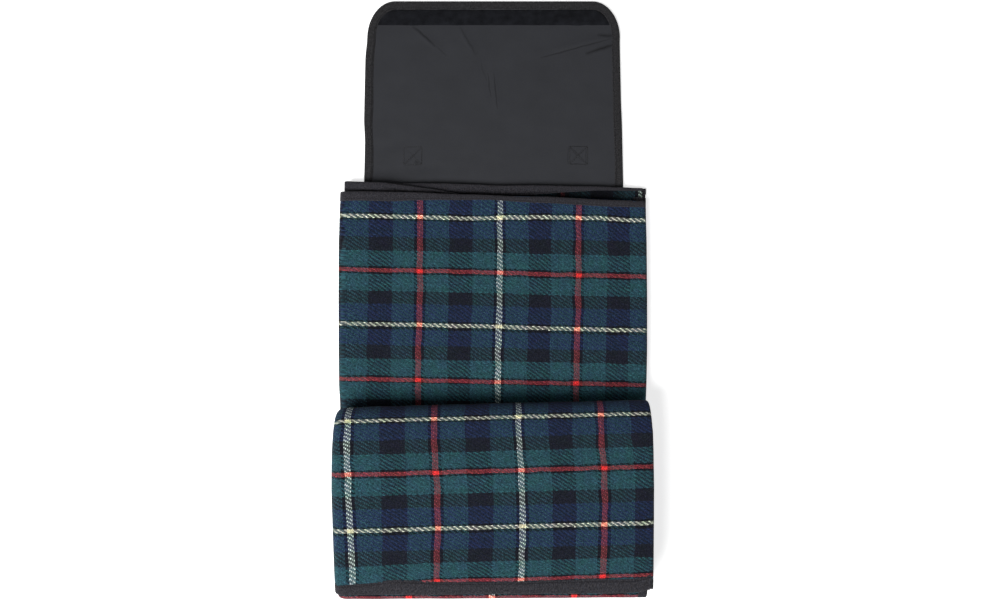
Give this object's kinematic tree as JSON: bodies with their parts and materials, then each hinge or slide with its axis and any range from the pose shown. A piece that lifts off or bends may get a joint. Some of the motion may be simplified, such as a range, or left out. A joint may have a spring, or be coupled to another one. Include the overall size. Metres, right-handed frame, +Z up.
{
  "type": "camp blanket",
  "caption": "Tartan camp blanket folded into a padded strip with its foot end in a bundle, bound hems, and an open carry flap with hook tape and a webbing handle.",
  "frame": {"origin": "centre of the bounding box, on the floor that the folded blanket lies on", "axes": "+Z up, +Y along the strip from the bundle towards the flap, +X across the strip to its free side edges"},
  "size_m": [0.341, 0.6609, 0.0617],
  "materials": {
    "tartan": "brushed woven twill, matt",
    "wadding": "matt",
    "backing": "soft satin film",
    "binding": "ribbed tape, matt",
    "flap_cloth": "plain weave, matt",
    "flap_lining": "coated plain weave",
    "foam": "matt",
    "hook_tape": "fuzzy, matt",
    "webbing": "ribbed webbing, matt",
    "thread": "matt"
  },
  "bodies": {
    "strip": {"tartan_flat": "tartan", "wadding_flat": "wadding", "backing_flat": "backing", "side_binding_outer_flat": "binding", "side_binding_inner_flat": "binding", "hem_binding_head": "binding", "hem_binding_corner": "binding", "flap_seam_tape": "binding", "flap_outer_tab": "flap_cloth", "flap_lining_tab": "flap_lining"},
    "bundle": {"tartan_base": "tartan", "wadding_base": "wadding", "backing_base": "backing", "side_binding_outer_base": "binding", "side_binding_inner_base": "binding", "loop_strip": "hook_tape"},
    "middle_level": {"tartan_middle": "tartan", "wadding_middle": "wadding", "backing_middle": "backing", "side_binding_outer_middle": "binding", "side_binding_inner_middle": "binding"},
    "top_level": {"tartan_top": "tartan", "wadding_top": "wadding", "backing_top": "backing", "side_binding_outer_top": "binding", "side_binding_inner_top": "binding", "hem_binding_foot": "binding"},
    "flap_spine": {"flap_outer_spine": "flap_cloth", "flap_stiffener_spine": "foam", "flap_lining_spine": "flap_lining", "flap_binding_left": "binding", "flap_binding_right": "binding", "box_stitch_left": "thread", "box_stitch_right": "thread", "handle_end_left": "webbing", "handle_end_right": "webbing"},
    "flap_cover": {"flap_outer_cover": "flap_cloth", "flap_stiffener_cover": "foam", "flap_lining_cover": "flap_lining", "flap_binding_cover": "binding", "hook_strip": "hook_tape"},
    "handle": {"handle_webbing": "webbing"}
  },
  "joints": [
    {"name": "bundle_fold", "type": "hinge", "parent": "strip", "child": "bundle", "pos_m": [0, -0.1166, 0.0399], "axis": [-1, 0, 0], "range_deg": [0, 179.95]},
    {"name": "lower_fold", "type": "hinge", "parent": "bundle", "child": "middle_level", "pos_m": [0, -0.3295, 0.02045], "axis": [-1, -0.006, 0], "range_deg": [-179.95, 0]},
    {"name": "upper_fold", "type": "hinge", "parent": "middle_level", "child": "top_level", "pos_m": [0, -0.1166, 0.04125], "axis": [-0.9997, -0.0255, 0], "range_deg": [0, 179.95]},
    {"name": "flap_seam", "type": "hinge", "parent": "strip", "child": "flap_spine", "pos_m": [0, 0.1286, 0.0044], "axis": [1, 0, 0], "range_deg": [0, 90]},
    {"name": "flap_crease", "type": "hinge", "parent": "flap_spine", "child": "flap_cover", "pos_m": [0, 0.2049, 0.0044], "axis": [1, 0, 0], "range_deg": [0, 90]},
    {"name": "handle_lift", "type": "slide", "parent": "flap_spine", "child": "handle", "axis": [0, 0, -1], "range_m": [0, 0.03]}
  ],
  "couplings": [
    {"joint": "upper_fold", "follows": "lower_fold", "ratio": -1}
  ]
}
